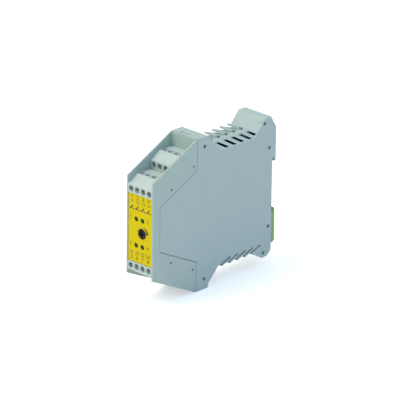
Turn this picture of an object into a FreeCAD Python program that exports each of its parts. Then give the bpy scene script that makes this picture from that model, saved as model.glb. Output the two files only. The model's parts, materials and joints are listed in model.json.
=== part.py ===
"""Safety relay in a 22.5 mm housing for a 35 mm mounting rail.

Millimetres. X is the width, Y runs from the front face back to the rail, Z is up.
Everything is drawn from the middle of the width, the front face and mid height, and is
moved at the end so that the origin is the centre of the rail seat.
"""
import FreeCAD, Part
import math
import os

V = FreeCAD.Vector

# ---- housing -------------------------------------------------------------------------
WIDTH = 22.5                # one housing pitch on the rail
HALF_HEIGHT = 49.5          # front block, above and below mid height
WALL = 1.5                  # walls of the two rear shells
WING_WALL = 1.2             # side wings of the front housing
PANEL_WALL = 1.2            # floors and front wall of the front housing
EDGE_ROUND = 0.45           # rounding of the outer side edges
SEAM = 0.15                 # visible gap where two mouldings meet
TIGHT_SEAM = 0.04           # gap where they are pressed together
CAP_BACK = 37.9             # depth at which the front housing ends
BACK_WALL = 0.8             # thin wall at the back of the upper terminals

FRONT_BLOCK_BACK = 47.0
NOTCH_FRONT = 57.7
SEAT = 103.9                # depth of the face that sits on the rail
HOOK_ROOT = 16.5            # from the back end of the upper notch to the seat
REAR_BLOCK = 5.3            # flat top of the rear block
REAR_CHAMFER = 1.6
FOOT_RUN = 10.8             # from the start of the foot to the seat
NOTCH_BACK = SEAT - HOOK_ROOT
REAR_BLOCK_BACK = SEAT - REAR_CHAMFER
REAR_BLOCK_FRONT = REAR_BLOCK_BACK - REAR_BLOCK
REAR_DROP = 2.0             # the rear block is this much lower than the front block
UPPER_NOTCH_DEPTH = 12.8    # from the front block's top to the right side wall under the vents
LOWER_NOTCH_DEPTH = 14.6    # from its underside to the left side wall over the lower vents
REAR_TOP = HALF_HEIGHT - REAR_DROP
NOTCH_TOP = HALF_HEIGHT - UPPER_NOTCH_DEPTH
LOWER_NOTCH_TOP = HALF_HEIGHT - LOWER_NOTCH_DEPTH

NOSE_FRONT = 6.0            # the rear shells reach forward between the wings
NOSE_HALF = 14.3            # half height of that nose at its tip
NOSE_ROOT_DEPTH = 19.6      # the nose's edge at CAP_BACK, below the top of the block
FACE_TOP_DEPTH = 18.5       # the wing's end at the front face, below the top of the block
FACE_BOTTOM_DEPTH = 17.5
NOSE_ROOT_HALF = HALF_HEIGHT - NOSE_ROOT_DEPTH
FACE_TOP = HALF_HEIGHT - FACE_TOP_DEPTH
FACE_BOTTOM = FACE_BOTTOM_DEPTH - HALF_HEIGHT
HALF = WIDTH / 2
INSIDE = HALF - WALL
WING_INSIDE = HALF - WING_WALL
CATCH_X = -1.1              # release recess over the front housing's catch
CATCH_DISH_R = 4.2
CATCH_DISH_DEPTH = 0.45
CATCH_SLOT_HALF = 1.0

# ---- mounting rail -------------------------------------------------------------------
RAIL_WIDTH = 35.0
RAIL_THICKNESS = 1.0
RAIL_TOP = 19.9             # height of the rail's upper edge
RAIL_PLAY = 0.3             # room for the rail's edge in its groove
HOOK_REACH = 3.1            # how far the hook stands behind the seat
HOOK_OVERLAP = 2.3          # how far the hook covers the rail's edge
HOOK_CHAMFER_DEPTH = 9.8
HOOK_CHAMFER_TOP = HALF_HEIGHT - HOOK_CHAMFER_DEPTH
RAIL_BOTTOM = RAIL_TOP - RAIL_WIDTH
RAIL_MIDDLE = RAIL_TOP - RAIL_WIDTH / 2
HOOK_BACK = SEAT + HOOK_REACH

# ---- vents ---------------------------------------------------------------------------
VENT_COUNT = 5
VENT_FIRST = NOTCH_FRONT + 2.5          # front tip of the first louvre blade
VENT_LAST = NOTCH_BACK - 0.52           # and of the last
VENT_PITCH = (VENT_LAST - VENT_FIRST) / (VENT_COUNT - 1)
BLADE_SLOPE = 0.355         # fall of a blade for each millimetre of depth
BLADE = 1.4                 # thickness of a blade
BLADE_ROUND = 0.6           # rounding of a blade's tip
BLADE_RUN = 7.6             # length of the gap under a blade
BLADE_ROOF = 4.1            # tip of a blade above the roof's inner face
UPPER_TIP_DEPTH = 8.5       # tips of the upper blades, below the top of the block
LOWER_TIP_DEPTH = 10.3      # tips of the lower blades, above its underside
UPPER_TIP = HALF_HEIGHT - UPPER_TIP_DEPTH
LOWER_TIP = HALF_HEIGHT - LOWER_TIP_DEPTH
GAP_REACH = 4.25            # the gaps under the blades reach this far in from the side face
SLOT_MARGIN = 0.95          # from the slots in the shoulder to the side face
WEB_NEAR = 1.3              # the web between the gaps, measured from the middle
WEB_FAR = HALF - GAP_REACH
SLOT_NEAR = 4.5             # slots in the shoulder, measured from the middle
SLOT_FAR = HALF - SLOT_MARGIN
SLOT_WIDTH = 2.8
SLOT_SLANT = 1.5            # the slots and holes run this much back for each millimetre down
SLOT_DEPTH = 6.0
HOLE_WIDTH = 2.4            # holes at the middle seam
SHOULDER_FLAT = 3.2         # flat part of the shoulder roof
SHOULDER_RISE = 3.5         # middle of the shoulder above its side edge
SHOULDER_BEND = (7.1, 2.2)  # bend of the roof: from the middle, and above the side edge
SHOULDER_WALL = 0.9

# ---- terminals -----------------------------------------------------------------------
POLES = 4
POLE_MARGIN = 1.25          # from the last pole's share of the block to the side face
POLE_PITCH = (WIDTH - 2 * POLE_MARGIN) / POLES
UPPER_SCREW_DEPTH = 26.2    # front screws, below the top of the block
LOWER_SCREW_DEPTH = 23.3    # and above its underside
UPPER_SCREW_Z = HALF_HEIGHT - UPPER_SCREW_DEPTH
LOWER_SCREW_Z = LOWER_SCREW_DEPTH - HALF_HEIGHT
TIER_BACK = 19.1            # how far the rear terminals stand behind the front ones
TIER_RISE = 9.9             # and how much further from the middle
FACE_HALF = 2.8             # half height of a terminal face
BEVEL_RUN = 7.0             # sloped facet behind the face
BEVEL_RISE = 4.5
FIT = 0.05                  # gap between parts pushed together

TUNNEL_R = 1.95             # screwdriver tunnel
HEAD_R = 1.8
HEAD_FRONT = 1.8            # depth of the screw head below the terminal face
HEAD_LENGTH = 1.6
HEAD_SLOT = 0.6
HEAD_SLOT_DEPTH = 0.8
SHANK_R = 1.3
THREAD_CLEARANCE = 0.08
CLAMP_TRAVEL = 2.4          # closing stroke of a cage
CAGE_HALF = 1.9
CAGE_FRONT_WALL = 1.3
CAGE_SIDE_WALL = 0.6
CAGE_BACK_WALL = 0.8
CAGE_PLAY = 0.2             # room around a cage in its chamber
CLAMP_GAP = 0.3             # left between cage and head, and cage and bar, when closed
BAR = 0.8                   # contact bar thickness
BAR_HALF = 1.1
TAIL_HALF = 0.45            # half width of a bar's solder tail
TAIL_STEP = 1.8             # each tail turns this much deeper than its neighbour
FUNNEL_HALF = 1.9           # wire entry at the surface
WIRE_HALF = 1.35            # and above the clamp
FUNNEL_DEPTH = 3.4
STUD_R = 0.65               # studs that hold a terminal block between the wings
STUD_HOLE_R = 0.75
STUD_BACK = 15.6            # depth of the studs behind the terminal face
STUD_DROP = {1: 0.2, -1: 2.2}   # how much nearer the middle than the screws, above and below
STUD_SHORT = 0.8            # the studs end this far inside the side face

# ---- front plate, dial and lamps -----------------------------------------------------
UPPER_FLOOR = UPPER_SCREW_Z - FACE_HALF - FIT
LOWER_FLOOR = LOWER_SCREW_Z + FACE_HALF + FIT
LABEL_TOP = UPPER_FLOOR - FIT
LABEL_BOTTOM = LOWER_FLOOR + SEAM
LABEL_HALF = WING_INSIDE - SEAM
LABEL = 0.5
LABEL_FRONT = 0.4
DIAL_X = 1.5
DIAL_Z = -3.9
DIAL_R = 3.1
DIAL_FRONT = 0.25
DIAL_LENGTH = 2.4
DIAL_PLAY = 0.3
DIAL_BEVEL = 0.35
DIAL_SHAFT_R = 1.5
DIAL_SHAFT_END = 8.0
DIAL_BORE_PLAY = 0.06
CROSS_WIDTH = 0.9
CROSS_LENGTH = 4.2
CROSS_DEPTH = 0.9
LAMP_COLUMNS = (-3.3, 1.9)
LAMP_ROWS = (4.6, -12.4)
LAMP_R = 1.4
LAMP_HOLE_PLAY = 0.15
LAMP_BEVEL = 0.35
LAMP_STAND = 1.2            # lamp above the front board
LAMP_LEAD = 0.5
LAMP_LEAD_PITCH = 1.8
POT_HALF = 3.4
POT_DEPTH = 4.2
POT_CORNER = 0.6

# ---- boards and what stands on them --------------------------------------------------
BOARD = 1.6
BOARD_LEFT = SEAM - INSIDE          # left face of the main board
BOARD_RIGHT = BOARD_LEFT + BOARD
BOARD_GAP = 0.4             # between the main board's edge and the mouldings
BOARD_TOP_DEPTH = 16.0      # the board's edges, below the top of the block
BOARD_BOTTOM_DEPTH = 16.5   # and above its underside
BOARD_TOP = HALF_HEIGHT - BOARD_TOP_DEPTH
BOARD_BOTTOM = BOARD_BOTTOM_DEPTH - HALF_HEIGHT
BOARD_BACK_GAP = 8.4        # from the board's back edge to the seat
BOARD_BACK = SEAT - BOARD_BACK_GAP
BOARD_STEP = 4.0            # slope from the neck of the board to its full height
BOARD_PEG_R = 1.2
PEG_END = 1.0               # the pegs stand this far out of the board
NECK_PEG_DEPTH = 14.0       # two pegs carry the board's neck, clear of the floors and of the nose
NECK_PEG_SHARE = (NECK_PEG_DEPTH - NOSE_FRONT) / (CAP_BACK - NOSE_FRONT)
NECK_PEG_EDGE = NOSE_HALF + NECK_PEG_SHARE * (NOSE_ROOT_HALF - NOSE_HALF)
UPPER_PEG_CLEARANCE = 5.95
LOWER_PEG_CLEARANCE = 7.35
UPPER_PEG_MARGIN = 3.7      # and this far inside the nose's edges
LOWER_PEG_MARGIN = 2.2
ROOT_PEG_DEPTH = 37.0
ROOT_PEG_MARGIN = 4.4
BACK_PEG_RUN = 3.5          # from the last peg to the board's back edge
BACK_PEG_RISE = 3.0         # and to its lower edge
PEGS = (                    # depth and height of the pegs that carry the main board
    (NECK_PEG_DEPTH, min(UPPER_FLOOR - UPPER_PEG_CLEARANCE, NECK_PEG_EDGE - UPPER_PEG_MARGIN)),
    (NECK_PEG_DEPTH, max(LOWER_FLOOR + LOWER_PEG_CLEARANCE, LOWER_PEG_MARGIN - NECK_PEG_EDGE)),
    (ROOT_PEG_DEPTH, NOSE_ROOT_HALF - ROOT_PEG_MARGIN),
    (BOARD_BACK - BACK_PEG_RUN, BOARD_BOTTOM + BACK_PEG_RISE),
)
FRONT_BOARD_FRONT = 9.0
FRONT_BOARD_TOP_GAP = 9.45  # from the front board to the upper floor
FRONT_BOARD_BOTTOM_GAP = 8.15
FRONT_BOARD_TOP = UPPER_FLOOR - FRONT_BOARD_TOP_GAP
FRONT_BOARD_BOTTOM = LOWER_FLOOR + FRONT_BOARD_BOTTOM_GAP
HEADER = 2.6                # section of the pin header between the two boards
HEADER_HALF = 8.0
RELAY_COUNT = 4
RELAY_HEIGHT = 40.0
RELAY_SPACE = 2.25          # between the relays and the right wall
RELAY_MARGIN = 1.1          # between the last relay and the board's back edge
RELAY_DROP = 2.0            # between the relays and the board's upper edge
RELAY_RIGHT = INSIDE - RELAY_SPACE
RELAY_BASE = 1.0
RELAY_STEP = 0.4            # the case stands out this far around its base
RELAY_ROUND = 0.6
RELAY_GAP = 0.6
RELAY_FIRST = 41.8
RELAY_ROOM = BOARD_BACK - RELAY_MARGIN - RELAY_FIRST
RELAY_DEPTH = (RELAY_ROOM + RELAY_GAP) / RELAY_COUNT - RELAY_GAP
RELAY_TOP = BOARD_TOP - RELAY_DROP
RELAY_BOTTOM = RELAY_TOP - RELAY_HEIGHT
CAPACITOR_R = 5.0
CAPACITOR_SPACE = 3.75      # between the capacitors and the right wall
CAPACITOR_RIGHT = INSIDE - CAPACITOR_SPACE
CAPACITOR_DEPTHS = (52.0, 66.0)
CAPACITOR_Z = RELAY_BOTTOM - 2 * CAPACITOR_R

# ---- rail latch ----------------------------------------------------------------------
LATCH_SIDE = 0.35           # the latch is this much narrower than the housing on each side
LATCH_HALF = HALF - LATCH_SIDE
LATCH_GAP = 0.1             # between the latch and the faces it slides on
LATCH_STEP = 0.2            # the latch ends this much in front of the hook's back
LATCH_COVER = 2.4           # how far the latch covers the rail's edge
LATCH_END_DEPTH = 13.5      # the latch's lower end, above the underside of the block
LATCH_BACK = HOOK_BACK - LATCH_STEP
LATCH_TOP = RAIL_BOTTOM + LATCH_COVER
LATCH_BOTTOM = LATCH_END_DEPTH - HALF_HEIGHT
LATCH_CHAMFER = 1.4
LATCH_STROKE = 3.0
NECK_HALF = 3.0
NECK_RISE = 4.2             # the neck starts this far above the latch's lower end
NECK_HEIGHT = 5.3
NECK_BOTTOM = LATCH_BOTTOM + NECK_RISE
NECK_TOP = NECK_BOTTOM + NECK_HEIGHT
FLANGE_HALF = 6.0
FLANGE = 2.0
EYE_HALF = 3.5
EYE_HEIGHT = 2.4
EYE_RIM = 1.4
SPRING_R = 1.6
SPRING_WIRE = 0.4           # square wire
SPRING_TURNS = 4
SPRING_SPACE = 0.15         # between the spring and the seat wall
SHELF = 1.0
SHELF_GAP = 0.4             # the shelf is this much below the pushed latch
FOOT_RIM = 1.5              # and the seat ends this much below it
SHELF_TOP = LATCH_BOTTOM - LATCH_STROKE - SHELF_GAP
FOOT_END = LATCH_BOTTOM - LATCH_STROKE - FOOT_RIM

# ---- pins that join the two shells: depth and height of each ---------------------------
PIN_R = 1.1
PIN_HOLE_R = 1.2
PIN_RECESS = 2.6            # the pins end this far below the right side face
SOCKET_R = 2.2              # sleeves around the pin holes
SOCKET_LENGTH = 4.0
PINS = (
    (44.0, HALF_HEIGHT - 6.1), (SEAT - 7.4, REAR_TOP - 3.4), (SEAT - 2.9, RAIL_TOP + 7.4),
    (SEAT - 2.9, NECK_TOP + 2.4), (SEAT - 7.1, FOOT_END - 0.1), (44.7, 6.7 - HALF_HEIGHT),
)
SHELF_FRONT = PINS[4][0] + PIN_HOLE_R + 0.3

BLOCK_HALF = WING_INSIDE - FIT
HUGE = 200.0


# ---- shapes --------------------------------------------------------------------------
def box(x0, x1, y0, y1, z0, z1):
    return Part.makeBox(x1 - x0, y1 - y0, z1 - z0, V(x0, y0, z0))


def prism_x(points, x0, x1):
    """A side outline, given as (depth, height) points, pulled across the width."""
    corners = [V(x0, y, z) for y, z in points]
    return Part.Face(Part.makePolygon(corners + corners[:1])).extrude(V(x1 - x0, 0, 0))


def prism_y(points, y0, y1):
    """A cross-section, given as (width, height) points, pulled from front to back."""
    corners = [V(x, y0, z) for x, z in points]
    return Part.Face(Part.makePolygon(corners + corners[:1])).extrude(V(0, y1 - y0, 0))


def rod_x(y, z, radius, x0, x1):
    return Part.makeCylinder(radius, x1 - x0, V(x0, y, z), V(1, 0, 0))


def rod_y(x, z, radius, y0, y1):
    return Part.makeCylinder(radius, y1 - y0, V(x, y0, z), V(0, 1, 0))


def joined(shapes):
    shapes = list(shapes)
    return shapes[0].fuse(shapes[1:]).removeSplitter()


def upside_down(shape):
    """Half a turn about the depth axis: top right becomes bottom left."""
    return shape.rotated(V(0, 0, 0), V(0, 1, 0), 180)


def mirrored_down(shape):
    return shape.mirror(V(0, 0, 0), V(0, 0, 1))


def rounded_side(solid, x):
    """Rounds the edges of a solid that lie in the side face at x."""
    edges = [e for e in solid.Edges if all(abs(v.X - x) < 1e-6 for v in e.Vertexes)]
    return solid.makeFillet(EDGE_ROUND, edges)


# ---- rear shells ---------------------------------------------------------------------
HOOK_BOTTOM = RAIL_TOP - HOOK_OVERLAP
OUTLINE = [
    (CAP_BACK, HALF_HEIGHT), (FRONT_BLOCK_BACK, HALF_HEIGHT), (REAR_BLOCK_FRONT, REAR_TOP),
    (REAR_BLOCK_BACK, REAR_TOP), (HOOK_BACK, HOOK_CHAMFER_TOP), (HOOK_BACK, HOOK_BOTTOM),
    (SEAT, HOOK_BOTTOM), (SEAT, FOOT_END), (SEAT - 3.7, FOOT_END - 3.1),
    (SEAT - 7.8, FOOT_END - 3.4), (SEAT - FOOT_RUN, FOOT_END - 1.6),
    (FRONT_BLOCK_BACK + 1.8, 3.2 - HALF_HEIGHT), (FRONT_BLOCK_BACK + 1.3, -HALF_HEIGHT),
    (CAP_BACK, -HALF_HEIGHT), (CAP_BACK, -NOSE_ROOT_HALF),
    (NOSE_FRONT, -NOSE_HALF), (NOSE_FRONT, NOSE_HALF), (CAP_BACK, NOSE_ROOT_HALF),
]
NOSE = [
    (NOSE_FRONT - 1, -NOSE_HALF), (NOSE_FRONT - 1, NOSE_HALF), (NOSE_FRONT, NOSE_HALF),
    (CAP_BACK, NOSE_ROOT_HALF), (CAP_BACK + 2 * WALL, NOSE_ROOT_HALF),
    (CAP_BACK + 2 * WALL, -NOSE_ROOT_HALF), (CAP_BACK, -NOSE_ROOT_HALF), (NOSE_FRONT, -NOSE_HALF),
]
UPPER_NOTCH = [
    (FRONT_BLOCK_BACK, HALF_HEIGHT), (NOTCH_FRONT, NOTCH_TOP), (NOTCH_BACK, NOTCH_TOP),
    (REAR_BLOCK_FRONT, REAR_TOP),
]
LOWER_NOTCH = [
    (FRONT_BLOCK_BACK + 1.8, HALF_HEIGHT - 3.2), (NOTCH_FRONT - 3.0, HALF_HEIGHT - 9.2),
    (NOTCH_FRONT + 1.3, LOWER_NOTCH_TOP), (NOTCH_BACK - 2.4, LOWER_NOTCH_TOP),
    (NOTCH_BACK - 0.1, HALF_HEIGHT - 10.7), (SEAT - FOOT_RUN, 1.6 - FOOT_END),
]


def notch_void(notch):
    """The open space above a notch line, drawn as if it were at the top."""
    return prism_x(notch + [(notch[-1][0], HUGE), (notch[0][0], HUGE)], -HALF - 1, HALF + 1)


def blade_tips():
    return [VENT_FIRST + i * VENT_PITCH for i in range(VENT_COUNT)]


def above_blades(tip):
    """Open space above the louvre: each blade falls towards the back, then the next one steps up."""
    fall = BLADE_SLOPE * VENT_PITCH
    first = VENT_FIRST - VENT_PITCH
    line = [(first - VENT_PITCH, tip + fall), (first, tip)]
    for y in blade_tips():
        line += [(y, tip - fall), (y, tip)]
    beyond = blade_tips()[-1] + NOTCH_FRONT
    line.append((beyond, tip - BLADE_SLOPE * NOTCH_FRONT))
    space = prism_x(line + [(beyond, HUGE), (first - VENT_PITCH, HUGE)], -HALF - 1, 0)
    rounding = []
    for y in blade_tips():
        corner = box(-HALF - 1, 0, y - 0.001, y + BLADE_ROUND, tip - BLADE_ROUND, tip + 1)
        rounding.append(corner.cut(rod_x(y + BLADE_ROUND, tip - BLADE_ROUND, BLADE_ROUND, -HALF - 1, 0)))
    return space.fuse(rounding)


def blade_gaps(tip):
    """The slanted gaps under the blades: open at the side face and at the middle seam."""
    gap = BLADE_SLOPE * VENT_PITCH - BLADE
    cuts = []
    for y in blade_tips():
        under = tip - BLADE
        end = under - BLADE_SLOPE * BLADE_RUN
        lead = under + BLADE_SLOPE
        line = [(y - 1, lead), (y + BLADE_RUN, end), (y + BLADE_RUN, end - gap), (y - 1, lead - gap)]
        cuts.append(prism_x(line, -HALF - 1, -WEB_FAR))
        cuts.append(prism_x(line, -WEB_NEAR, 0))
    return cuts


def louvre_cuts(notch, tip):
    """Everything taken from the left half at the top to leave louvre blades."""
    holes = [slanted(y, HOLE_WIDTH, tip, SLOT_DEPTH, -WEB_NEAR, 0) for y in blade_tips()]
    return [notch_void(notch).common(above_blades(tip))] + blade_gaps(tip) + holes


def louvre_hollow(tip):
    roof = tip - BLADE_ROOF
    return box(-INSIDE, 0, NOTCH_FRONT, NOTCH_BACK, 0, roof)


def shoulder_line(edge, drop):
    """Half cross-section of the roof: flat at the middle, falling in two facets to the side edge."""
    top = edge + SHOULDER_RISE - drop
    bend, rise = SHOULDER_BEND
    fall = rise / (HALF - bend)
    return [
        (0, top), (SHOULDER_FLAT, top), (bend, edge + rise - drop), (HALF, edge - drop),
        (HALF + 1, edge - fall - drop),
    ]


def shoulder_cuts(notch, edge):
    """Everything taken from the right half at the top to leave the slotted shoulder."""
    line = shoulder_line(edge, 0)
    above = prism_y(line + [(HALF + 1, HUGE), (0, HUGE)], 0, HUGE)
    cuts = [notch_void(notch).common(above)]
    top = edge + SHOULDER_RISE
    for y in blade_tips():
        cuts.append(slanted(y, SLOT_WIDTH, top, SLOT_DEPTH, SLOT_NEAR, SLOT_FAR))
        cuts.append(slanted(y, HOLE_WIDTH, top, SLOT_DEPTH, 0, WEB_NEAR))
    return cuts


def slanted(y, width, top, depth, x0, x1):
    """A hole that leans back as it goes down, from a little above the roof."""
    rise = 1.0
    lean = SLOT_SLANT
    line = [
        (y - width / 2 - lean * rise, top + rise), (y + width / 2 - lean * rise, top + rise),
        (y + width / 2 + lean * depth, top - depth), (y - width / 2 + lean * depth, top - depth),
    ]
    return prism_x(line, x0, x1)


def shoulder_hollow(edge):
    line = shoulder_line(edge, SHOULDER_WALL)
    under = prism_y(line + [(HALF + 1, 0), (0, 0)], NOTCH_FRONT + WALL, NOTCH_BACK - WALL)
    return under.common(box(0, INSIDE, 0, HUGE, 0, HUGE))


def shell_blank(x0, x1, side):
    """Outer form of one half, hollowed, with the nose open towards the front housing."""
    outer = rounded_side(prism_x(OUTLINE, x0, x1), side)
    face = Part.Face(Part.makePolygon([V(min(x0, x1), y, z) for y, z in OUTLINE + OUTLINE[:1]]))
    inner = face.makeOffset2D(-WALL, 2).extrude(V(HALF, 0, 0))
    low = [notch_void(UPPER_NOTCH).translated(V(0, 0, -WALL))]
    low.append(mirrored_down(notch_void(LOWER_NOTCH)).translated(V(0, 0, WALL)))
    inner = inner.cut(low)
    keep = box(min(x0, x1, 0), max(x0, x1, 0), 0, HUGE, -HUGE, HUGE)
    keep = keep.common(box(-INSIDE, INSIDE, 0, HUGE, -HUGE, HUGE))
    hollow = inner.common(keep)
    nose = prism_x(NOSE, -INSIDE, INSIDE).common(keep)
    return outer.cut([hollow, nose])


def rail_groove():
    """Groove in the hook for the rail's upper edge."""
    depth = RAIL_THICKNESS + RAIL_PLAY
    return box(-HALF - 1, HALF + 1, SEAT, SEAT + depth, HOOK_BOTTOM - 1, RAIL_TOP + 0.1)


def latch_window():
    """Slot in the seat wall for the latch neck and its stroke."""
    play = 2 * LATCH_GAP
    return box(-NECK_HALF - play, NECK_HALF + play, SEAT - 2 * WALL, SEAT + 1,
               NECK_BOTTOM - LATCH_STROKE - play, NECK_TOP + play)


def release_recess():
    """Screwdriver recess above the catch of the front housing, in the top of the front block."""
    middle = V(CATCH_X, CAP_BACK + CATCH_DISH_R - 0.6, HALF_HEIGHT - CATCH_DISH_DEPTH)
    dish = Part.makeCylinder(CATCH_DISH_R, 1.0, middle, V(0, 0, 1))
    hole = box(CATCH_X - CATCH_SLOT_HALF, CATCH_X + CATCH_SLOT_HALF, CAP_BACK + 0.4, CAP_BACK + 1.3,
               HALF_HEIGHT - 4, HALF_HEIGHT + 1)
    return [dish.common(box(-HALF, HALF, CAP_BACK + 0.3, middle.y - 0.2, 0, HUGE)), hole]


def spring_shelf(x0, x1):
    return box(x0, x1, SHELF_FRONT, SEAT - WALL, SHELF_TOP - SHELF, SHELF_TOP)


def make_left_shell():
    shell = shell_blank(0, -HALF, -HALF)
    hollows = [louvre_hollow(UPPER_TIP), upside_down(shoulder_hollow(LOWER_NOTCH_TOP))]
    cuts = louvre_cuts(UPPER_NOTCH, UPPER_TIP)
    cuts += [upside_down(c) for c in shoulder_cuts(LOWER_NOTCH, LOWER_NOTCH_TOP)]
    cuts += [rail_groove(), latch_window()] + release_recess()
    shell = shell.cut(hollows).cut(cuts)
    pins = [rod_x(y, z, PIN_R, -INSIDE - 0.5, HALF - PIN_RECESS) for y, z in PINS]
    pegs = [rod_x(y, z, BOARD_PEG_R, -INSIDE - 0.5, BOARD_RIGHT + PEG_END) for y, z in PEGS]
    return joined([shell, spring_shelf(-INSIDE - 0.5, 0)] + pins + pegs)


def make_right_shell():
    shell = shell_blank(0, HALF, HALF)
    hollows = [shoulder_hollow(NOTCH_TOP), upside_down(louvre_hollow(LOWER_TIP))]
    cuts = shoulder_cuts(UPPER_NOTCH, NOTCH_TOP)
    cuts += [upside_down(c) for c in louvre_cuts(LOWER_NOTCH, LOWER_TIP)]
    cuts += [rail_groove(), latch_window()] + release_recess()
    shell = shell.cut(hollows).cut(cuts)
    sockets = [rod_x(y, z, SOCKET_R, INSIDE - SOCKET_LENGTH, INSIDE + 0.5) for y, z in PINS]
    shell = joined([shell, spring_shelf(0, INSIDE + 0.5)] + sockets)
    return shell.cut([rod_x(y, z, PIN_HOLE_R, -1, HALF + 1) for y, z in PINS])


# ---- front housing -------------------------------------------------------------------
RISER_FRONT = TIER_BACK - FIT - PANEL_WALL
BLOCK_DEPTH = RISER_FRONT - FIT


def wing_outline():
    seam = SEAM
    tight = TIGHT_SEAM
    return [
        (0, FACE_TOP), (CAP_BACK - seam, HALF_HEIGHT), (CAP_BACK - seam, NOSE_ROOT_HALF),
        (NOSE_FRONT - tight, NOSE_HALF + tight), (NOSE_FRONT - tight, -NOSE_HALF - seam),
        (CAP_BACK - seam, -NOSE_ROOT_HALF - seam), (CAP_BACK - seam, -HALF_HEIGHT), (0, FACE_BOTTOM),
    ]


def terminal_floor(z, up):
    """Stepped floor under the two terminal blocks of one end; up is +1 above, -1 below."""
    near = z - up * PANEL_WALL
    far = z + up * TIER_RISE
    back = CAP_BACK - SEAM
    line = [
        (LABEL_FRONT + LABEL, near), (LABEL_FRONT + LABEL, z), (RISER_FRONT, z), (RISER_FRONT, far),
        (back - BACK_WALL, far), (back - BACK_WALL, up * HALF_HEIGHT), (back, up * HALF_HEIGHT),
        (back, far - up * PANEL_WALL), (RISER_FRONT + PANEL_WALL, far - up * PANEL_WALL),
        (RISER_FRONT + PANEL_WALL, near),
    ]
    return prism_x(line, -WING_INSIDE, WING_INSIDE)


def nose_relief():
    """Room on both sides for the shells' nose walls, which reach inside the wings."""
    seam = SEAM
    half = [
        (NOSE_FRONT - seam, NOSE_HALF + seam), (CAP_BACK, NOSE_ROOT_HALF + seam),
        (CAP_BACK + 1, NOSE_ROOT_HALF),
    ]
    outline = half + [(y, -z) for y, z in reversed(half)]
    whole = prism_x(outline, -HALF - 1, HALF + 1)
    return whole.cut(box(FIT - INSIDE, INSIDE - FIT, -1, HUGE, -HUGE, HUGE))


def make_front_housing():
    outline = wing_outline()
    body = prism_x(outline, -HALF, HALF)
    body = rounded_side(rounded_side(body, HALF), -HALF)
    body = body.cut(box(-WING_INSIDE, WING_INSIDE, -1, HUGE, -HUGE, HUGE))
    front = LABEL_FRONT + LABEL
    wall = box(-WING_INSIDE, WING_INSIDE, front, front + PANEL_WALL, LOWER_FLOOR, UPPER_FLOOR)
    housing = joined([body, wall, terminal_floor(UPPER_FLOOR, 1), terminal_floor(LOWER_FLOOR, -1)])
    cuts = [nose_relief(), rod_y(DIAL_X, DIAL_Z, DIAL_R + DIAL_PLAY, 0, 5)]
    cuts += [rod_y(x, z, LAMP_R + LAMP_HOLE_PLAY, 0, 5) for x, z in lamp_places()]
    cuts += [rod_x(y, z, STUD_HOLE_R, -HALF - 1, HALF + 1) for y, z in stud_places()]
    for tier_y, tier_z, up in tiers():
        for x in pole_places():
            cuts.append(bar_slot(x, tier_y, tier_z, up))
    return housing.cut(cuts)


def lamp_places():
    return [(x, z) for z in LAMP_ROWS for x in LAMP_COLUMNS]


# ---- terminals -----------------------------------------------------------------------
def pole_places():
    return [(i - (POLES - 1) / 2) * POLE_PITCH for i in range(POLES)]


def tiers():
    """Depth of the face, height of the screws, and +1 above or -1 below."""
    return [
        (0.0, UPPER_SCREW_Z, 1), (TIER_BACK, UPPER_SCREW_Z + TIER_RISE, 1),
        (0.0, LOWER_SCREW_Z, -1), (TIER_BACK, LOWER_SCREW_Z - TIER_RISE, -1),
    ]


TIER_NAMES = ("upper_front", "upper_rear", "lower_front", "lower_rear")
CAGE_CLOSED = HEAD_FRONT + HEAD_LENGTH + CLAMP_GAP
CAGE_OPEN = CAGE_CLOSED + CLAMP_TRAVEL
BAR_FRONT = CAGE_OPEN + CAGE_FRONT_WALL + 0.2
SHANK_END = BAR_FRONT - FIT
CAGE_BACK = BAR_FRONT + BAR + CLAMP_GAP + CLAMP_TRAVEL + CAGE_BACK_WALL
CHAMBER_FRONT = HEAD_FRONT + HEAD_LENGTH + 0.1
CHAMBER_HALF = CAGE_HALF + CAGE_PLAY
WIRE_Y = (BAR_FRONT + BAR + CAGE_BACK - CAGE_BACK_WALL) / 2
BLOCK_TOP = FACE_HALF + BEVEL_RISE


def stud_places():
    places = []
    for tier_y, tier_z, up in tiers():
        places.append((tier_y + STUD_BACK, tier_z - up * STUD_DROP[up]))
    return places


def block_studs(drop):
    """Short studs on the two ends of a block, which snap into the wings."""
    root = BLOCK_HALF - 0.3
    tip = HALF - STUD_SHORT
    ends = [(-tip, -root), (root, tip)]
    return [rod_x(STUD_BACK, -drop, STUD_R, x0, x1) for x0, x1 in ends]


def placed(shape, tier_y, tier_z, up):
    """Moves a piece drawn for an upper terminal at the front face to its own tier."""
    if up < 0:
        shape = mirrored_down(shape)
    return shape.translated(V(0, tier_y, tier_z))


def funnel(x):
    """Square wire entry that narrows to the hole above the clamp."""
    neck = BLOCK_TOP - FUNNEL_DEPTH
    half = [(-WIRE_HALF, 0), (-WIRE_HALF, neck), (-FUNNEL_HALF, BLOCK_TOP)]
    line = half + [(-a, z) for a, z in reversed(half)]
    across = prism_y([(x + a, z) for a, z in line], 0, HUGE)
    along = prism_x([(WIRE_Y + a, z) for a, z in line], -HALF, HALF)
    return across.common(along)


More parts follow.
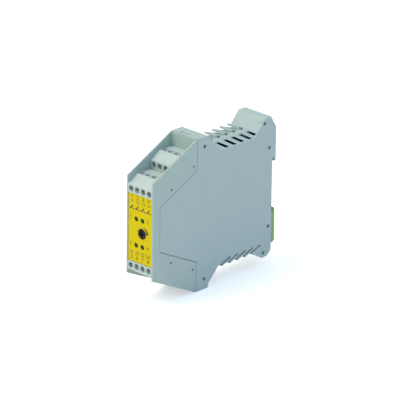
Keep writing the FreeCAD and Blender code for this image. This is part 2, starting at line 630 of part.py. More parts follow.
def make_terminal_block(drop):
    """One four-pole block, drawn with its face at depth 0 and its screws at height 0."""
    outline = [
        (0, -FACE_HALF), (0, FACE_HALF), (BEVEL_RUN, BLOCK_TOP), (BLOCK_DEPTH, BLOCK_TOP),
        (BLOCK_DEPTH, -FACE_HALF),
    ]
    block = prism_x(outline, -BLOCK_HALF, BLOCK_HALF)
    cuts = []
    for x in pole_places():
        cuts.append(rod_y(x, 0, TUNNEL_R, -1, CHAMBER_FRONT + 0.1))
        cuts.append(box(x - CHAMBER_HALF, x + CHAMBER_HALF, CHAMBER_FRONT, CAGE_BACK + CAGE_PLAY,
                        -CHAMBER_HALF, CHAMBER_HALF))
        cuts.append(box(x - BAR_HALF - FIT, x + BAR_HALF + FIT, BAR_FRONT - FIT, BAR_FRONT + BAR + FIT,
                        -FACE_HALF - 1, 0))
        cuts.append(funnel(x))
    block = block.cut(cuts)
    return joined([block] + block_studs(drop))


def make_screw(x):
    """Slotted clamp screw: the head in its tunnel, the shank through the cage to the bar."""
    head = rod_y(x, 0, HEAD_R, HEAD_FRONT, HEAD_FRONT + HEAD_LENGTH)
    shank = rod_y(x, 0, SHANK_R, HEAD_FRONT + HEAD_LENGTH, SHANK_END)
    slot = box(x - HEAD_R, x + HEAD_R, HEAD_FRONT - 1, HEAD_FRONT + HEAD_SLOT_DEPTH,
               -HEAD_SLOT / 2, HEAD_SLOT / 2)
    return joined([head, shank]).cut(slot)


def make_cage(x):
    """Clamp cage: a square frame open upwards and downwards, with the threaded wall in front."""
    outer = box(x - CAGE_HALF, x + CAGE_HALF, CAGE_OPEN, CAGE_BACK, -CAGE_HALF, CAGE_HALF)
    inner = CAGE_HALF - CAGE_SIDE_WALL
    window = box(x - inner, x + inner, CAGE_OPEN + CAGE_FRONT_WALL, CAGE_BACK - CAGE_BACK_WALL,
                 -CAGE_HALF - 1, CAGE_HALF + 1)
    thread = rod_y(x, 0, SHANK_R + THREAD_CLEARANCE, CAGE_OPEN - 1, CAGE_OPEN + CAGE_FRONT_WALL + 0.1)
    return outer.cut([window, thread])


def bar_slot(x, tier_y, tier_z, up):
    """Slot in the floor of the front housing for a contact bar."""
    cut = box(x - BAR_HALF - FIT, x + BAR_HALF + FIT, BAR_FRONT - FIT, BAR_FRONT + BAR + FIT,
              -FACE_HALF - PANEL_WALL - 1, -FACE_HALF + 0.01)
    return placed(cut, tier_y, tier_z, up)


def make_bar(x, number):
    """Contact bar: flat in the clamp, then a narrow tail that turns to the main board."""
    root = -FACE_HALF - PANEL_WALL - 0.4
    turn = root - 0.6 - number * TAIL_STEP
    flat = box(x - BAR_HALF, x + BAR_HALF, BAR_FRONT, BAR_FRONT + BAR, root, CAGE_HALF - 0.2)
    leg = box(x - TAIL_HALF, x + TAIL_HALF, BAR_FRONT, BAR_FRONT + BAR, turn - BAR, root)
    tail = box(BOARD_RIGHT, x + TAIL_HALF, BAR_FRONT, BAR_FRONT + BAR, turn - BAR, turn)
    return joined([flat, leg, tail])


# ---- front plate, dial, lamps --------------------------------------------------------
def make_label_plate():
    plate = box(-LABEL_HALF, LABEL_HALF, LABEL_FRONT, LABEL_FRONT + LABEL, LABEL_BOTTOM, LABEL_TOP)
    holes = [rod_y(DIAL_X, DIAL_Z, DIAL_R + DIAL_PLAY, 0, 5)]
    holes += [rod_y(x, z, LAMP_R + LAMP_HOLE_PLAY, 0, 5) for x, z in lamp_places()]
    return plate.cut(holes)


def make_dial_knob():
    """Setting dial: a disc with a cross slot and a stepped rim, on a thin shaft."""
    back = DIAL_FRONT + DIAL_LENGTH
    profile = [
        V(0, DIAL_FRONT, 0), V(DIAL_R - DIAL_BEVEL, DIAL_FRONT, 0),
        V(DIAL_R, DIAL_FRONT + DIAL_BEVEL, 0), V(DIAL_R, back, 0), V(DIAL_SHAFT_R, back, 0),
        V(DIAL_SHAFT_R, DIAL_SHAFT_END, 0), V(0, DIAL_SHAFT_END, 0),
    ]
    knob = Part.Face(Part.makePolygon(profile + profile[:1])).revolve(V(0, 0, 0), V(0, 1, 0), 360)
    half = CROSS_LENGTH / 2
    wide = CROSS_WIDTH / 2
    floor = DIAL_FRONT + CROSS_DEPTH
    slots = [box(-half, half, -1, floor, -wide, wide), box(-wide, wide, -1, floor, -half, half)]
    return knob.cut(slots).translated(V(DIAL_X, 0, DIAL_Z))


def make_potentiometer():
    front = FRONT_BOARD_FRONT - POT_DEPTH
    body = box(DIAL_X - POT_HALF, DIAL_X + POT_HALF, front, FRONT_BOARD_FRONT,
               DIAL_Z - POT_HALF, DIAL_Z + POT_HALF)
    corners = [e for e in body.Edges if abs(e.Vertexes[0].Y - e.Vertexes[1].Y) > 1]
    body = body.makeChamfer(POT_CORNER, corners)
    bore = rod_y(DIAL_X, DIAL_Z, DIAL_SHAFT_R + DIAL_BORE_PLAY, front - 1, DIAL_SHAFT_END + 0.1)
    return body.cut(bore)


def make_lamp(x, z):
    """Lamp with a bevelled top and two leads down to the front board."""
    foot = FRONT_BOARD_FRONT - LAMP_STAND
    top = LAMP_R - LAMP_BEVEL
    line = [
        V(0, LABEL_FRONT, 0), V(top, LABEL_FRONT, 0), V(LAMP_R, LABEL_FRONT + LAMP_BEVEL, 0),
        V(LAMP_R, foot, 0), V(0, foot, 0),
    ]
    lamp = Part.Face(Part.makePolygon(line + line[:1])).revolve(V(0, 0, 0), V(0, 1, 0), 360)
    leads = []
    for middle in (-LAMP_LEAD_PITCH / 2, LAMP_LEAD_PITCH / 2):
        near, far = middle - LAMP_LEAD / 2, middle + LAMP_LEAD / 2
        leads.append(box(near, far, foot - FIT, FRONT_BOARD_FRONT, -LAMP_LEAD / 2, LAMP_LEAD / 2))
    return joined([lamp] + leads).translated(V(x, 0, z))


# ---- boards and components -----------------------------------------------------------
def make_main_board():
    front = NOSE_FRONT + BOARD_GAP
    near = UPPER_FLOOR - PANEL_WALL - BOARD_GAP
    far = near + TIER_RISE
    low_near = LOWER_FLOOR + PANEL_WALL + BOARD_GAP
    low_far = BOARD_GAP - NOSE_ROOT_HALF
    step = RISER_FRONT + PANEL_WALL + BOARD_GAP
    back = CAP_BACK + WALL + BOARD_GAP
    full = back + BOARD_STEP
    outline = [
        (front, near), (step, near), (step, far), (back, far), (full, BOARD_TOP), (BOARD_BACK, BOARD_TOP),
        (BOARD_BACK, BOARD_BOTTOM), (full, BOARD_BOTTOM), (back, low_far), (step, low_far),
        (step, low_near), (front, low_near),
    ]
    board = prism_x(outline, BOARD_LEFT, BOARD_RIGHT)
    return board.cut([rod_x(y, z, BOARD_PEG_R + FIT, -HALF, HALF) for y, z in PEGS])


def make_front_board():
    back = FRONT_BOARD_FRONT + BOARD
    return box(BOARD_RIGHT + FIT, INSIDE - BOARD_GAP, FRONT_BOARD_FRONT, back,
               FRONT_BOARD_BOTTOM, FRONT_BOARD_TOP)


def make_board_header():
    front = FRONT_BOARD_FRONT + BOARD
    return box(BOARD_RIGHT, BOARD_RIGHT + HEADER, front, front + HEADER, -HEADER_HALF, HEADER_HALF)


def make_relay(index):
    """Sealed relay, lying on the main board: a case with rounded edges on a slim base."""
    y0 = RELAY_FIRST + index * (RELAY_DEPTH + RELAY_GAP)
    y1 = y0 + RELAY_DEPTH
    foot = BOARD_RIGHT + RELAY_BASE
    case = box(foot, RELAY_RIGHT, y0, y1, RELAY_BOTTOM, RELAY_TOP)
    corners = [e for e in case.Edges if abs(e.Vertexes[0].X - e.Vertexes[1].X) > 1]
    case = case.makeFillet(RELAY_ROUND, corners)
    base = box(BOARD_RIGHT, foot, y0 + RELAY_STEP, y1 - RELAY_STEP, RELAY_BOTTOM + RELAY_STEP,
               RELAY_TOP - RELAY_STEP)
    return joined([case, base])


def make_capacitors():
    return Part.makeCompound([
        rod_x(y, CAPACITOR_Z, CAPACITOR_R, BOARD_RIGHT, CAPACITOR_RIGHT) for y in CAPACITOR_DEPTHS
    ])


# ---- rail latch ----------------------------------------------------------------------
def make_rail_latch():
    """Foot that hooks under the rail: outer plate with a lip, a neck and an inner flange."""
    front = SEAT + LATCH_GAP
    groove = SEAT + RAIL_THICKNESS + RAIL_PLAY
    cut = LATCH_CHAMFER
    outline = [
        (groove, LATCH_TOP), (LATCH_BACK - cut, LATCH_TOP), (LATCH_BACK, LATCH_TOP - cut),
        (LATCH_BACK, LATCH_BOTTOM + cut), (LATCH_BACK - cut, LATCH_BOTTOM), (front, LATCH_BOTTOM),
        (front, RAIL_BOTTOM - 0.1), (groove, RAIL_BOTTOM - 0.1),
    ]
    plate = prism_x(outline, -LATCH_HALF, LATCH_HALF)
    inner = SEAT - WALL - LATCH_GAP
    neck = box(-NECK_HALF, NECK_HALF, inner - 0.1, front + 0.1, NECK_BOTTOM, NECK_TOP)
    flange = box(-FLANGE_HALF, FLANGE_HALF, inner - FLANGE, inner, NECK_BOTTOM, NECK_TOP)
    rim = LATCH_BOTTOM + EYE_RIM
    eye = box(-EYE_HALF, EYE_HALF, SEAT, LATCH_BACK + 1, rim, rim + EYE_HEIGHT)
    return joined([plate, neck, flange]).cut(eye)


def make_latch_spring():
    """Compression spring between the shelf and the latch flange, with flat closed ends left plain."""
    low = SHELF_TOP + SPRING_WIRE / 2 + FIT
    high = NECK_BOTTOM - SPRING_WIRE / 2 - FIT
    pitch = (high - low) / SPRING_TURNS
    helix = Part.makeHelix(pitch, high - low, SPRING_R)
    wire = SPRING_WIRE / 2
    corners = [V(SPRING_R - wire, 0, -wire), V(SPRING_R + wire, 0, -wire), V(SPRING_R + wire, 0, wire),
               V(SPRING_R - wire, 0, wire)]
    section = Part.makePolygon(corners + corners[:1])
    pipe = Part.Wire(helix).makePipeShell([section], True, True)
    return pipe.translated(V(0, SEAT - WALL - SPRING_R - wire - SPRING_SPACE, low))


# ---- whole part ----------------------------------------------------------------------
def make_parts():
    parts = {
        "left_shell": make_left_shell(),
        "right_shell": make_right_shell(),
        "front_housing": make_front_housing(),
        "label_plate": make_label_plate(),
        "dial_knob": make_dial_knob(),
        "potentiometer": make_potentiometer(),
        "main_board": make_main_board(),
        "front_board": make_front_board(),
        "board_header": make_board_header(),
        "capacitors": make_capacitors(),
        "rail_latch": make_rail_latch(),
        "latch_spring": make_latch_spring(),
    }
    lamp_names = ("lamp_upper_left", "lamp_upper_right", "lamp_lower_left", "lamp_lower_right")
    for name, (x, z) in zip(lamp_names, lamp_places()):
        parts[name] = make_lamp(x, z)
    for index in range(RELAY_COUNT):
        parts["relay_%d" % (index + 1)] = make_relay(index)
    bars = {1: [], -1: []}
    for tier, (tier_y, tier_z, up) in zip(TIER_NAMES, tiers()):
        parts[tier + "_terminal_block"] = placed(make_terminal_block(STUD_DROP[up]), tier_y, tier_z, up)
        for number, x in enumerate(pole_places()):
            parts["%s_screw_%d" % (tier, number + 1)] = placed(make_screw(x), tier_y, tier_z, up)
            parts["%s_cage_%d" % (tier, number + 1)] = placed(make_cage(x), tier_y, tier_z, up)
            bars[up].append(placed(make_bar(x, number), tier_y, tier_z, up))
    parts["upper_contact_bars"] = Part.makeCompound(bars[1])
    parts["lower_contact_bars"] = Part.makeCompound(bars[-1])
    return parts


def main():
    os.makedirs("parts", exist_ok=True)
    to_origin = V(0, -SEAT, -RAIL_MIDDLE)
    for name, shape in make_parts().items():
        shape.translated(to_origin).exportStep("parts/%s.step" % name)
        report = (name, shape.Volume, len(shape.Solids), shape.isValid())
        print("%-28s %8.1f mm3, %d solid(s), valid %s" % report)


main()
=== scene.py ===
"""Looks for the safety relay: materials, the print on its front plate, lights and camera.

Metres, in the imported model's frame: X is the width, +Y runs from the front plate back to the rail, Z is up.
"""

import json
import math

import bpy
from mathutils import Matrix, Vector


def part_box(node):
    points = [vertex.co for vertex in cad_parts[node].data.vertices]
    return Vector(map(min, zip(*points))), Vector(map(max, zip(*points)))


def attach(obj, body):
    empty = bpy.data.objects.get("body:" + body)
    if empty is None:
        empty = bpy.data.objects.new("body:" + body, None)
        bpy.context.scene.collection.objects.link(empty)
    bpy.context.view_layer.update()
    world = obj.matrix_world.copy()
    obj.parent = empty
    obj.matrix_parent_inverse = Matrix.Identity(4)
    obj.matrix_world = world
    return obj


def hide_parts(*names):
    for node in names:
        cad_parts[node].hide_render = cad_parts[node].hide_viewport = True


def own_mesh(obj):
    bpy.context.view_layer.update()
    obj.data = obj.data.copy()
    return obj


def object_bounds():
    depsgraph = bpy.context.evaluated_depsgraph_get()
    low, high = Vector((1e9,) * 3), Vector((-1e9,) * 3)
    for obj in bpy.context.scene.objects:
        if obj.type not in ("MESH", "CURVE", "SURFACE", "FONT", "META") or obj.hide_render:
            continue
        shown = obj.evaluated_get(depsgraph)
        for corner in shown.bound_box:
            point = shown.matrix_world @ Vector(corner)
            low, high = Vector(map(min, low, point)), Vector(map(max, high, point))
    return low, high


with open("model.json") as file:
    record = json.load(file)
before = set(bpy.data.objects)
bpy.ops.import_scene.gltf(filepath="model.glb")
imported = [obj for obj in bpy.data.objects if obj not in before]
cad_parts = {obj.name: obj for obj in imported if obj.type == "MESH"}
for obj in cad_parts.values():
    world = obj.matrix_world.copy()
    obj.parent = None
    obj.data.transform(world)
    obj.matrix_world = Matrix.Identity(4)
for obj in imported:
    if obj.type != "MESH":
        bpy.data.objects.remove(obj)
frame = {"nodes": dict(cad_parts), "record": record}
CAD_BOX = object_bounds()
MM = 0.001

# ---- camera ---------------------------------------------------------------------------
CAMERA_AZIMUTH = math.radians(43.61)
CAMERA_HEIGHT = math.radians(21.62)
CAMERA_ROLL = math.radians(-0.73)
CAMERA_DISTANCE = 3.18
CAMERA_LENS = 472.0
SENSOR_WIDTH = 36.0
LOOKED_AT = Vector((0, -46.9, -2.4)) * MM
LOOKED_AT_RIGHT = 3.4 * MM      # the part stands this far right of the picture's middle
LOOKED_AT_DOWN = 1.95 * MM      # and this far below it

# ---- light ----------------------------------------------------------------------------
SKY_LEFT = (0.78, 0.78, 0.70)
SKY_RIGHT = (0.50, 0.64, 0.94)
SUN = (1.0, 0.95, 0.84)
SUN_STRENGTH = 1.3
SUN_FROM = Vector((-0.35, -0.44, 0.83))
SUN_SOFTNESS = math.radians(35)
FLOOR_SHOWN = (0.95, 0.95, 0.95)
FLOOR_LIFT = 0.42               # light added to the floor as it is shown, so that it reads as white
FLOOR_BOUNCE = (0.88, 0.88, 0.82)
FLOOR_HALF = 30.0               # half the floor's width, so that its edge is out of sight
SKY_TURN = 0.6                  # how far to each side the sky changes from one colour to the other
WHITE = (1.0, 1.0, 1.0, 1.0)

# ---- colours, as they are written on a colour card --------------------------------------
REAR_HOUSING = (177, 194, 187)
FRONT_HOUSING = (175, 193, 182)
TERMINAL = (193, 206, 197)
YELLOW = (226, 202, 0)
PRINT = (48, 34, 12)
LATCH = (142, 174, 92)
LENS = (14, 62, 22)
DIAL = (9, 9, 11)
SCREW = (196, 198, 196)
CLAMP = (184, 186, 184)
SPRING = (170, 170, 172)
CONTACT = (204, 186, 132)
RELAY_CASE = (34, 32, 34)
POTENTIOMETER = (52, 92, 150)
BOARD = (38, 108, 66)
HEADER = (30, 30, 32)
CAN = (190, 192, 196)
PAINTED_SHADE_REACH = 1.6                    # how far, in millimetres, shade painted beside a wall reaches into the corner
NOISE_SPREAD = (0.3, 0.7)       # a noise texture seldom leaves this range
OPEN_SPREAD = (0.08, 0.45)      # how open a place is, from the holes with the darkest painted shade to where none is painted
MOTTLE_SIZE = 9.0               # size of the colour's patches, in millimetres
GLOSS_SIZE = 4.0                # and of the patches of uneven gloss
GLOSS_RANGE = (0.85, 1.15)      # the roughness varies by these factors
BUMP_STRENGTH = 0.6


def linear(colour):
    """A colour card's red, green and blue, 0 to 255, as the light values that a shader takes."""
    values = []
    for value in colour:
        share = value / 255
        values.append(share / 12.92 if share <= 0.04045 else ((share + 0.055) / 1.055) ** 2.4)
    return tuple(values) + (1.0,)


# ---- materials ------------------------------------------------------------------------
def scaled(colour, factor):
    """A lighter or darker copy of a colour."""
    return tuple(min(1.0, value * factor) for value in colour[:3]) + (1.0,)


def noise(nodes, links, where, size, detail):
    """A noise texture with features of a size in millimetres."""
    texture = nodes.new("ShaderNodeTexNoise")
    texture.inputs["Scale"].default_value = 1 / (size * MM)
    texture.inputs["Detail"].default_value = detail
    links.new(where, texture.inputs["Vector"])
    return texture.outputs["Fac"]


def between(nodes, links, factor, low, high, spread_over=NOISE_SPREAD):
    """Turns a factor that runs over a range into a value from low to high."""
    spread = nodes.new("ShaderNodeMapRange")
    spread.inputs["From Min"].default_value = spread_over[0]
    spread.inputs["From Max"].default_value = spread_over[1]
    spread.inputs["To Min"].default_value = low
    spread.inputs["To Max"].default_value = high
    links.new(factor, spread.inputs["Value"])
    return spread.outputs["Result"]


def shaded(nodes, links, colour, strength):
    """Paints shade into a colour in holes, slots and corners, where little light comes."""
    hidden = nodes.new("ShaderNodeAmbientOcclusion")
    hidden.samples = 8
    hidden.inputs["Distance"].default_value = PAINTED_SHADE_REACH * MM
    depth = between(nodes, links, hidden.outputs["AO"], 1 - strength, 1.0, OPEN_SPREAD)
    mix = nodes.new("ShaderNodeMix")
    mix.data_type = "RGBA"
    mix.blend_type = "MULTIPLY"
    mix.inputs[0].default_value = 1.0
    links.new(colour, mix.inputs[6])
    links.new(depth, mix.inputs[7])
    return mix.outputs[2]


def surface(name, colour, roughness, grain, depth, stretch=(1, 1, 1), mottle=0.04, edge=0.12, hollow=0.0,
            **sockets):
    """A material with slow colour mottling, uneven gloss, a fine grain and softened edges.

    grain is the size of the texture's bumps and depth their height, both in millimetres; hollow is how
    much painted shade darkens the colour in holes, slots and corners.
    """
    material = bpy.data.materials.new(name)
    material.use_nodes = True
    nodes = material.node_tree.nodes
    links = material.node_tree.links
    shader = nodes["Principled BSDF"]
    place = nodes.new("ShaderNodeTexCoord")
    mapping = nodes.new("ShaderNodeMapping")
    mapping.inputs["Scale"].default_value = stretch
    links.new(place.outputs["Object"], mapping.inputs["Vector"])
    where = mapping.outputs["Vector"]

    tone = linear(colour)
    mix = nodes.new("ShaderNodeMix")
    mix.data_type = "RGBA"
    mix.inputs[6].default_value = scaled(tone, 1 - mottle)
    mix.inputs[7].default_value = scaled(tone, 1 + mottle)
    links.new(noise(nodes, links, where, MOTTLE_SIZE, 3), mix.inputs[0])
    # painted shade: the colour darkens where walls close round a place, as if shade fell there
    tone = shaded(nodes, links, mix.outputs[2], hollow) if hollow else mix.outputs[2]
    links.new(tone, shader.inputs["Base Color"])

    gloss = noise(nodes, links, where, GLOSS_SIZE, 4)
    smooth, rough = [min(1.0, roughness * factor) for factor in GLOSS_RANGE]
    links.new(between(nodes, links, gloss, smooth, rough), shader.inputs["Roughness"])

    bevel = nodes.new("ShaderNodeBevel")
    bevel.samples = 4
    bevel.inputs["Radius"].default_value = edge * MM
    bump = nodes.new("ShaderNodeBump")
    bump.inputs["Strength"].default_value = BUMP_STRENGTH
    bump.inputs["Distance"].default_value = depth * MM
    links.new(noise(nodes, links, where, grain, 2), bump.inputs["Height"])
    links.new(bevel.outputs["Normal"], bump.inputs["Normal"])
    links.new(bump.outputs["Normal"], shader.inputs["Normal"])
    for socket, value in sockets.items():
        shader.inputs[socket.replace("_", " ")].default_value = value
    return material


def make_materials():
    """One material for each slot of the record, and one for the print."""
    steel = dict(Metallic=1.0, stretch=(1, 6, 1), mottle=0.08)
    moulded = dict(grain=0.35, depth=0.012)
    finishes = {
        # the housing, terminal, screw and clamp finishes get painted shade in their holes and corners
        "rear_plastic": dict(colour=REAR_HOUSING, roughness=0.55, hollow=0.9, **moulded),
        "front_plastic": dict(colour=FRONT_HOUSING, roughness=0.52, hollow=0.3, **moulded),
        "terminal_plastic": dict(colour=TERMINAL, roughness=0.48, grain=0.30, depth=0.010, hollow=0.92),
        "screw_steel": dict(colour=SCREW, roughness=0.34, grain=0.12, depth=0.010, hollow=0.5, **steel),
        "clamp_steel": dict(colour=CLAMP, roughness=0.40, grain=0.12, depth=0.010, hollow=0.9, **steel),
        "relay_case": dict(colour=RELAY_CASE, roughness=0.40, grain=0.4, depth=0.008),
        "lamp_lens": dict(colour=LENS, roughness=0.3, grain=0.8, depth=0.006, edge=0.25,
                          Specular_IOR_Level=0.15),
        "label_yellow": dict(colour=YELLOW, roughness=0.55, grain=0.22, depth=0.006, mottle=0.02,
                             Specular_IOR_Level=0.15),
        "dial_black": dict(colour=DIAL, roughness=0.5, grain=0.25, depth=0.012, Specular_IOR_Level=0.25),
        "potentiometer_blue": dict(colour=POTENTIOMETER, roughness=0.45, grain=0.3, depth=0.01),
        "board_green": dict(colour=BOARD, roughness=0.35, grain=1.2, depth=0.03, mottle=0.2),
        "header_black": dict(colour=HEADER, roughness=0.5, grain=0.3, depth=0.01),
        "capacitor_can": dict(colour=CAN, roughness=0.3, grain=0.2, depth=0.006, Metallic=1.0),
        "latch_green": dict(colour=LATCH, roughness=0.5, edge=0.3, **moulded),
        "spring_steel": dict(colour=SPRING, roughness=0.3, grain=0.1, depth=0.006, **steel),
        "contact_metal": dict(colour=CONTACT, roughness=0.35, grain=0.15, depth=0.008, **steel),
        "print": dict(colour=PRINT, roughness=0.5, grain=0.2, depth=0.004, mottle=0.1, edge=0.02),
    }
    return {name: surface(name, **finish) for name, finish in finishes.items()}


def dress(materials):
    """Gives every CAD node the material of its slot in the record."""
    slots = {row["node"]: row["material_slot"] for row in frame["record"]["subparts"]}
    for name, node in frame["nodes"].items():
        node.data.materials.clear()
        node.data.materials.append(materials[slots[name]])


# ---- print on the front plate, in millimetres --------------------------------------------
PRINT_LIFT = 0.03 * MM          # how far the print stands in front of the plate
PLATE_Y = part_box("label_plate")[0].y
POLE_PITCH = 4.6
COLUMNS = [POLE_PITCH * (i - 1.5) for i in range(4)]
ROWS = (                        # a row's height, the height of its digits and its numbers
    (18.5, 2.5, (1, 2, 3, 4)),
    (15.5, 2.2, (11, 12, 13, 14)),
    (-17.4, 2.2, (21, 22, 23, 24)),
    (-20.6, 2.5, (5, 6, 7, 8)),
)
ROW_ZERO = -2.4                 # the rows' heights are counted from the housing's mid height
DIGIT_SHARE = 0.7               # a digit's height in the font, as a share of the font's size
LAMP_NUMBERS = {"lamp_upper_left": 1, "lamp_upper_right": 2, "lamp_lower_left": 3, "lamp_lower_right": 4}
LAMP_NUMBER_ASIDE = {"left": -4.6, "right": 4.4}
LAMP_NUMBER_RISE = 0.4
LAMP_NUMBER_HEIGHT = 2.3
DIAL_ARC = dict(radius=4.7, width=1.9, start=18, end=84)
ARC_TIP = 0.25                  # the curved stroke starts at this share of its full width
DIAL_TICKS = 12
TICK_NEAR = 3.9                 # the ticks' ends, measured from the dial's middle
TICK_FAR = 4.5
TICK_WIDTH = 0.22
FIRST_TICK = -165               # degrees from the top
SYMBOL_RISE = 11.6              # the switch symbols' height, counted as the rows' heights are
SYMBOL_STROKE = 0.8
SYMBOL_LINES = (                # two contacts with an open blade between them
    (-1.9, -0.8, -0.7, -0.8),
    (-0.9, -0.9, 0.7, 1.3),
    (0.7, -0.8, 1.9, -0.8),
)


def middle(node):
    """The middle of a CAD node's box."""
    low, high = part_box(node)
    return (low + high) / 2


def flat(vertices, faces):
    """A thin mesh from outline points (x, z) in millimetres, just in front of the plate."""
    mesh = bpy.data.meshes.new("print")
    y = PLATE_Y - PRINT_LIFT
    mesh.from_pydata([(x * MM, y, z * MM) for x, z in vertices], [], faces)
    mesh.update()
    return mesh


def stroke(x0, z0, x1, z1, width):
    """A straight stroke of even width between two points."""
    along = Vector((x1 - x0, z1 - z0)).normalized() * width / 2
    side = Vector((-along.y, along.x))
    near = Vector((x0, z0))
    far = Vector((x1, z1))
    return flat([near - side, far - side, far + side, near + side], [(0, 1, 2, 3)])


def arc(x, z, radius, width, start, end, steps=16):
    """A curved stroke that grows wider from start to end; angles are clockwise from the top."""
    points = []
    for i in range(steps + 1):
        share = i / steps
        angle = math.radians(start + (end - start) * share)
        half = width * (ARC_TIP + (1 - ARC_TIP) * share) / 2
        for r in (radius - half, radius + half):
            points.append((x + r * math.sin(angle), z + r * math.cos(angle)))
    return flat(points, [(2 * i, 2 * i + 2, 2 * i + 3, 2 * i + 1) for i in range(steps)])


def number(value, x, z, height):
    """A plain number, centred on x and z, in millimetres."""
    curve = bpy.data.curves.new("number", "FONT")
    curve.body = str(value)
    curve.size = height / DIGIT_SHARE
    curve.align_x = "CENTER"
    curve.align_y = "CENTER"
    text = bpy.data.objects.new("number", curve)
    bpy.context.scene.collection.objects.link(text)
    bpy.context.view_layer.update()
    mesh = bpy.data.meshes.new_from_object(text.evaluated_get(bpy.context.evaluated_depsgraph_get()))
    bpy.data.objects.remove(text)
    place = Matrix.Translation((x * MM, PLATE_Y - PRINT_LIFT, z * MM))
    mesh.transform(place @ Matrix.Rotation(math.pi / 2, 4, "X") @ Matrix.Scale(MM, 4))
    return mesh


def terminal_numbers():
    """The rows of numbers beside the upper and the lower terminals."""
    meshes = []
    for z, height, values in ROWS:
        for x, value in zip(COLUMNS, values):
            meshes.append(number(value, x, ROW_ZERO + z, height))
    return meshes


def lamp_numbers():
    """A number on the outer side of each lamp."""
    meshes = []
    for name, value in LAMP_NUMBERS.items():
        place = middle(name) / MM
        x = place.x + LAMP_NUMBER_ASIDE[name.split("_")[-1]]
        meshes.append(number(value, x, place.z + LAMP_NUMBER_RISE, LAMP_NUMBER_HEIGHT))
    return meshes


def dial_scale():
    """Short ticks round the dial and one thick curved stroke at the upper right."""
    place = middle("dial_knob") / MM
    centre = Vector((place.x, place.z))
    meshes = [arc(place.x, place.z, **DIAL_ARC)]
    for i in range(DIAL_TICKS):
        angle = math.radians(FIRST_TICK + i * 360 / DIAL_TICKS)
        away = Vector((math.sin(angle), math.cos(angle)))
        meshes.append(stroke(*(centre + away * TICK_NEAR), *(centre + away * TICK_FAR), TICK_WIDTH))
    return meshes


def contact_symbols():
    """A row of four plain switch symbols."""
    z = ROW_ZERO + SYMBOL_RISE
    meshes = []
    for x in COLUMNS:
        for x0, z0, x1, z1 in SYMBOL_LINES:
            meshes.append(stroke(x + x0, z + z0, x + x1, z + z1, SYMBOL_STROKE))
    return meshes


def join(meshes, name, material, body):
    """One object from many small meshes, riding on a CAD body."""
    vertices, faces = [], []
    for mesh in meshes:
        first = len(vertices)
        vertices += [v.co.copy() for v in mesh.vertices]
        faces += [[first + i for i in polygon.vertices] for polygon in mesh.polygons]
        bpy.data.meshes.remove(mesh)
    mesh = bpy.data.meshes.new(name)
    mesh.from_pydata(vertices, [], faces)
    mesh.update()
    mesh.materials.append(material)
    piece = bpy.data.objects.new(name, mesh)
    bpy.context.scene.collection.objects.link(piece)
    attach(piece, body)
    return piece


# ---- the latch's spring ---------------------------------------------------------------------
def make_spring():
    """A copy of the solid spring, riding on the housing; the solid one is hidden."""
    spring = bpy.data.objects.new("latch_spring_coil", frame["nodes"]["latch_spring"].data.copy())
    bpy.context.scene.collection.objects.link(spring)
    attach(spring, "housing")
    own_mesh(spring)
    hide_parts("latch_spring")


# ---- stage ------------------------------------------------------------------------------
def make_floor():
    """A pale floor under the part. It shows as white, and throws back less light than it shows."""
    material = bpy.data.materials.new("floor")
    material.use_nodes = True
    nodes = material.node_tree.nodes
    links = material.node_tree.links
    shader = nodes["Principled BSDF"]
    shader.inputs["Roughness"].default_value = 0.9
    shader.inputs["Specular IOR Level"].default_value = 0.0
    path = nodes.new("ShaderNodeLightPath")
    seen = nodes.new("ShaderNodeMath")
    seen.operation = "MAXIMUM"
    links.new(path.outputs["Is Camera Ray"], seen.inputs[0])
    links.new(path.outputs["Is Glossy Ray"], seen.inputs[1])
    mix = nodes.new("ShaderNodeMix")
    mix.data_type = "RGBA"
    mix.inputs[6].default_value = FLOOR_BOUNCE + (1.0,)
    mix.inputs[7].default_value = FLOOR_SHOWN + (1.0,)
    links.new(seen.outputs[0], mix.inputs[0])
    links.new(mix.outputs[2], shader.inputs["Base Color"])
    lift = nodes.new("ShaderNodeMath")
    lift.operation = "MULTIPLY"
    lift.inputs[1].default_value = FLOOR_LIFT
    links.new(seen.outputs[0], lift.inputs[0])
    links.new(lift.outputs[0], shader.inputs["Emission Strength"])
    shader.inputs["Emission Color"].default_value = WHITE
    z = CAD_BOX[0][2]
    mesh = bpy.data.meshes.new("floor")
    corners = [(x * FLOOR_HALF, y * FLOOR_HALF, z) for x, y in ((-1, -1), (1, -1), (1, 1), (-1, 1))]
    mesh.from_pydata(corners, [], [(0, 1, 2, 3)])
    mesh.materials.append(material)
    floor = bpy.data.objects.new("floor", mesh)
    bpy.context.scene.collection.objects.link(floor)


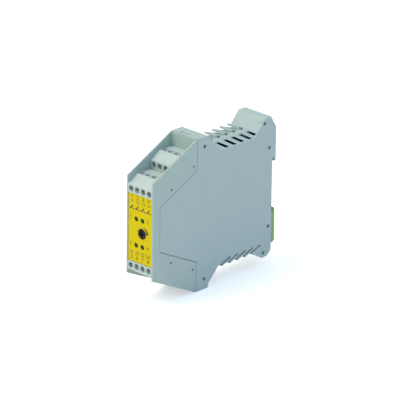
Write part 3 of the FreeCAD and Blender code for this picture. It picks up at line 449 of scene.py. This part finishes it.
def make_world():
    """Soft light from a sky that is warm on the left and cool on the right, and shows as white."""
    world = bpy.data.worlds.new("sky")
    bpy.context.scene.world = world
    world.use_nodes = True
    nodes = world.node_tree.nodes
    links = world.node_tree.links
    background = nodes["Background"]
    place = nodes.new("ShaderNodeTexCoord")
    split = nodes.new("ShaderNodeSeparateXYZ")
    links.new(place.outputs["Generated"], split.inputs[0])
    turn = between(nodes, links, split.outputs["X"], 0.0, 1.0, (-SKY_TURN, SKY_TURN))
    sky = nodes.new("ShaderNodeMix")
    sky.data_type = "RGBA"
    sky.inputs[6].default_value = SKY_LEFT + (1.0,)
    sky.inputs[7].default_value = SKY_RIGHT + (1.0,)
    links.new(turn, sky.inputs[0])
    path = nodes.new("ShaderNodeLightPath")
    mix = nodes.new("ShaderNodeMix")
    mix.data_type = "RGBA"
    mix.inputs[7].default_value = WHITE
    links.new(sky.outputs[2], mix.inputs[6])
    links.new(path.outputs["Is Camera Ray"], mix.inputs[0])
    links.new(mix.outputs[2], background.inputs["Color"])


def make_sun():
    """A wide, soft lamp from the upper left front."""
    lamp = bpy.data.lights.new("sun", "SUN")
    lamp.energy = SUN_STRENGTH
    lamp.color = SUN
    lamp.angle = SUN_SOFTNESS
    sun = bpy.data.objects.new("sun", lamp)
    sun.rotation_euler = SUN_FROM.to_track_quat("Z", "Y").to_euler()
    bpy.context.scene.collection.objects.link(sun)


def make_camera():
    """The camera looks down on the front and the right side, turned a little about its own axis."""
    out = Vector((math.sin(CAMERA_AZIMUTH), -math.cos(CAMERA_AZIMUTH), 0))
    back = out * math.cos(CAMERA_HEIGHT) + Vector((0, 0, math.sin(CAMERA_HEIGHT)))
    level = Vector((-out.y, out.x, 0))
    steep = back.cross(level)
    right = level * math.cos(CAMERA_ROLL) - steep * math.sin(CAMERA_ROLL)
    up = back.cross(right)
    place = LOOKED_AT + back * CAMERA_DISTANCE
    aim = LOOKED_AT - right * LOOKED_AT_RIGHT + up * LOOKED_AT_DOWN
    back = (place - aim).normalized()
    right = (right - back * right.dot(back)).normalized()
    up = back.cross(right)
    data = bpy.data.cameras.new("camera")
    data.lens = CAMERA_LENS
    data.sensor_width = SENSOR_WIDTH
    camera = bpy.data.objects.new("camera", data)
    camera.matrix_world = Matrix.Translation(place) @ Matrix((right, up, back)).transposed().to_4x4()
    bpy.context.scene.collection.objects.link(camera)
    bpy.context.scene.camera = camera


def main():
    materials = make_materials()
    dress(materials)
    marks = terminal_numbers() + lamp_numbers() + dial_scale() + contact_symbols()
    join(marks, "front_print", materials["print"], "housing")
    make_spring()
    make_floor()
    make_world()
    make_sun()
    make_camera()
    bpy.context.scene.view_settings.view_transform = "Standard"


main()
